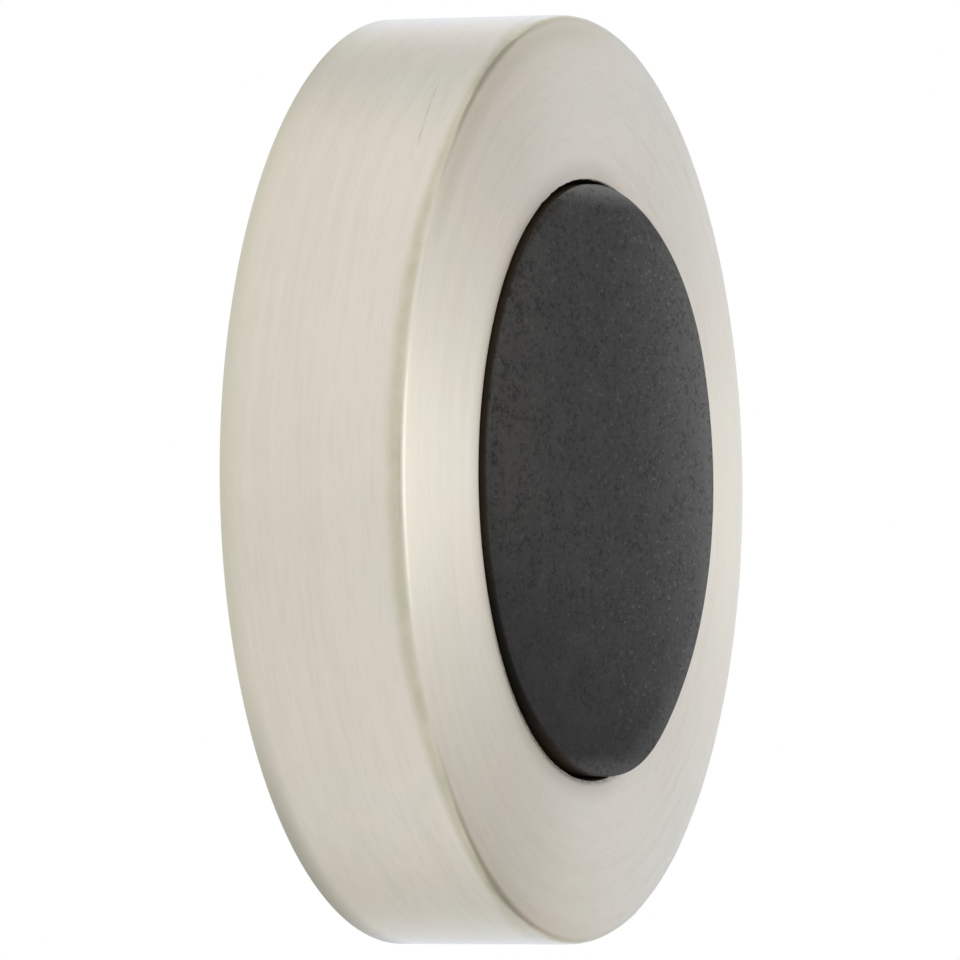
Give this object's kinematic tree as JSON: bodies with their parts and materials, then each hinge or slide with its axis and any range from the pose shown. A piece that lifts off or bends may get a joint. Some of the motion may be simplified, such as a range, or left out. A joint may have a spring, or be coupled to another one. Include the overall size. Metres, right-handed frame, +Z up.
{
  "type": "wall door stop",
  "caption": "Round wall door stop: a flat brushed metal disc with a crowned front ring and a black rubber bumper pad pressed into it, fixed by a hidden screw through its centre.",
  "frame": {"origin": "where the axis of the screw hole meets the wall plane, at the centre of the back", "axes": "+Z up, +Y into the wall along the axis of the disc, so the stop faces -Y; +X to the right as seen by someone facing the wall"},
  "size_m": [0.06, 0.014, 0.06],
  "materials": {
    "brushed_metal": "zinc casting with a satin nickel finish, brushed round its axis",
    "black_rubber": "matt, fine moulded grain"
  },
  "bodies": {
    "root": {"housing": "brushed_metal", "bumper_pad": "black_rubber"}
  },
  "joints": []
}
